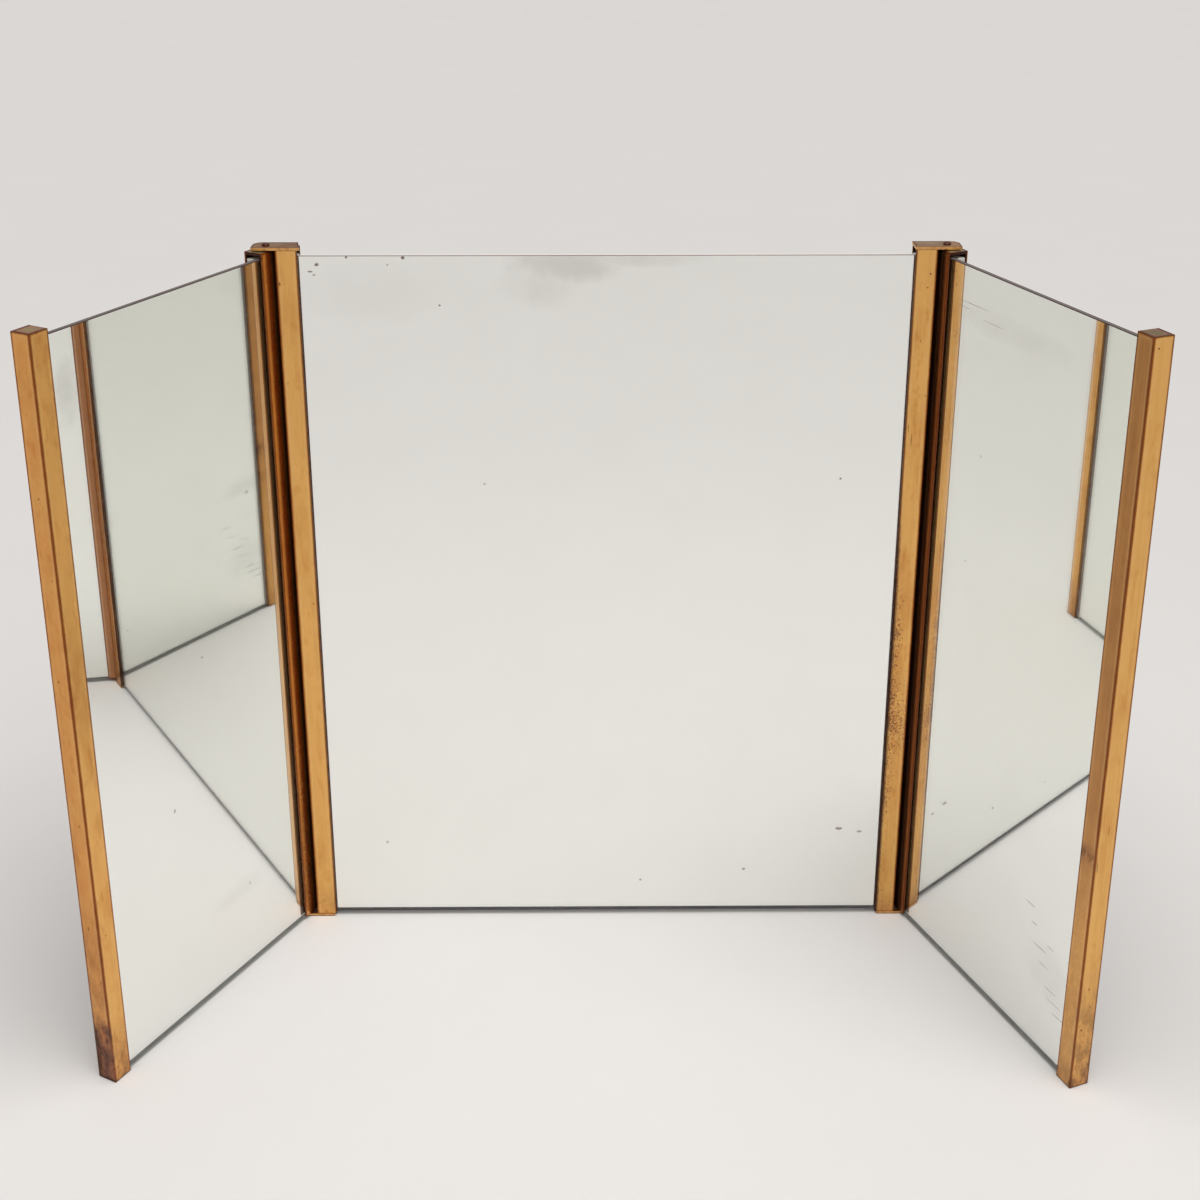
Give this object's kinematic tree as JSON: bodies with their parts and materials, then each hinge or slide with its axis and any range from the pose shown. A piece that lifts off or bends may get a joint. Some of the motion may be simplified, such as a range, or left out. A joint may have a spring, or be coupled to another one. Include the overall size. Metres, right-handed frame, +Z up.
{
  "type": "three panel floor mirror",
  "caption": "Free-standing folding floor mirror: a fixed centre panel with side wings that swing on upright pins, each mirror glass held between square brass channel posts.",
  "frame": {"origin": "on the floor, in the middle of the rest pose's footprint", "axes": "+Z up; +X along the centre panel towards the viewer's right; +Y away from the viewer, so the mirror of the centre panel looks along -Y"},
  "size_m": [1.0108, 0.3266, 0.8023],
  "materials": {
    "brass_channel": "warm aged brass with fine lengthwise grain, dark arris lines and pitted brown tarnish towards the lower ends",
    "brass_plate": "olive brown patina with a darker reddish border",
    "hinge_pin": "dark reddish brown tarnish, worn on the crown",
    "mirror_glass": "old silvered glass, faintly green, with light foxing near its edges",
    "backing_board": "dark brown hardboard",
    "packing_strip": "bare pale softwood",
    "setting_block": "matt black rubber"
  },
  "bodies": {
    "centre_panel": {"centre_mirror_glass": "mirror_glass", "centre_backing_board": "backing_board", "left_centre_post": "brass_channel", "right_centre_post": "brass_channel", "left_top_hinge_plate": "brass_plate", "right_top_hinge_plate": "brass_plate", "left_bottom_hinge_plate": "brass_plate", "right_bottom_hinge_plate": "brass_plate", "left_top_hinge_washer": "brass_plate", "right_top_hinge_washer": "brass_plate", "left_bottom_hinge_washer": "brass_plate", "right_bottom_hinge_washer": "brass_plate", "centre_left_packing_strip": "packing_strip", "centre_right_packing_strip": "packing_strip", "centre_left_setting_block": "setting_block", "centre_right_setting_block": "setting_block"},
    "left_wing": {"left_wing_mirror_glass": "mirror_glass", "left_wing_backing_board": "backing_board", "left_wing_hinge_post": "brass_channel", "left_wing_outer_post": "brass_channel", "left_wing_top_cap": "brass_plate", "left_wing_bottom_cap": "brass_plate", "left_outer_post_top_cap": "brass_plate", "left_outer_post_foot": "brass_plate", "left_top_pin_block": "brass_plate", "left_bottom_pin_block": "brass_plate", "left_top_hinge_pin": "hinge_pin", "left_bottom_hinge_pin": "hinge_pin", "left_wing_hinge_packing_strip": "packing_strip", "left_wing_outer_packing_strip": "packing_strip"},
    "right_wing": {"right_wing_mirror_glass": "mirror_glass", "right_wing_backing_board": "backing_board", "right_wing_hinge_post": "brass_channel", "right_wing_outer_post": "brass_channel", "right_wing_top_cap": "brass_plate", "right_wing_bottom_cap": "brass_plate", "right_outer_post_top_cap": "brass_plate", "right_outer_post_foot": "brass_plate", "right_top_pin_block": "brass_plate", "right_bottom_pin_block": "brass_plate", "right_top_hinge_pin": "hinge_pin", "right_bottom_hinge_pin": "hinge_pin", "right_wing_hinge_packing_strip": "packing_strip", "right_wing_outer_packing_strip": "packing_strip"}
  },
  "joints": [
    {"name": "left_wing_hinge", "type": "hinge", "parent": "centre_panel", "child": "left_wing", "pos_m": [-0.33043, 0.15035, 0.4], "axis": [0, 0, 1], "range_deg": [-85, 37]},
    {"name": "right_wing_hinge", "type": "hinge", "parent": "centre_panel", "child": "right_wing", "pos_m": [0.36456, 0.15035, 0.4], "axis": [0, 0, -1], "range_deg": [-91.6, 30.4]}
  ]
}
